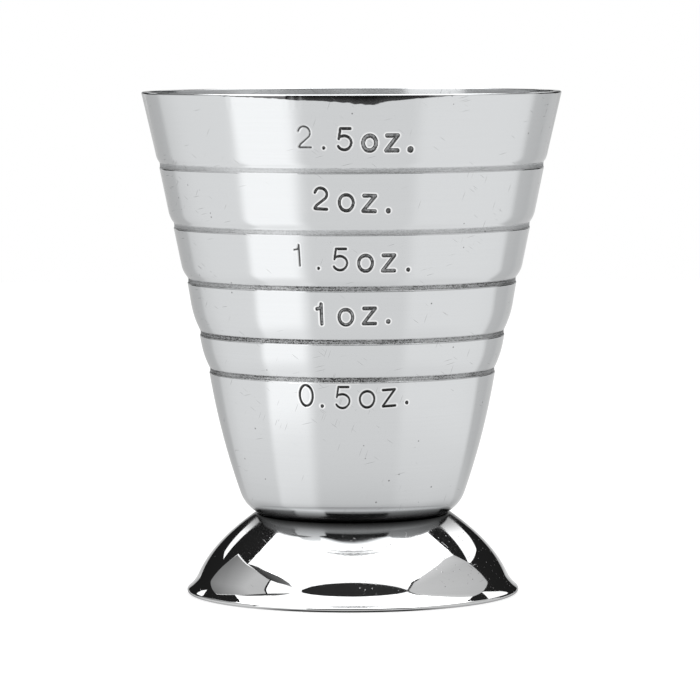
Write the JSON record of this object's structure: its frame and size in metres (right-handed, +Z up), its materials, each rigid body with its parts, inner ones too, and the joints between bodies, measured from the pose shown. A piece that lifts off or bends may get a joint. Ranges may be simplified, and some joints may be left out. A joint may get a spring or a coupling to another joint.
{
  "type": "bar measuring cup",
  "caption": "Tapered stainless-steel bar measure, stepped and grooved at each measure line, spot-welded to a mirror-polished bell foot, for measuring pours of spirits.",
  "frame": {"origin": "centre of the ring that the foot stands on, in the plane of the table", "axes": "+Z up along the cup's axis, -Y towards the stamped measure marks"},
  "size_m": [0.0558, 0.0558, 0.067],
  "materials": {
    "satin_steel": "satin-polished stainless steel with fine wear scratches",
    "mirror_steel": "mirror-polished stainless steel",
    "weld_metal": "matt weld metal"
  },
  "bodies": {
    "root": {"cup": "satin_steel", "foot": "mirror_steel", "spot_welds": "weld_metal"}
  },
  "joints": []
}
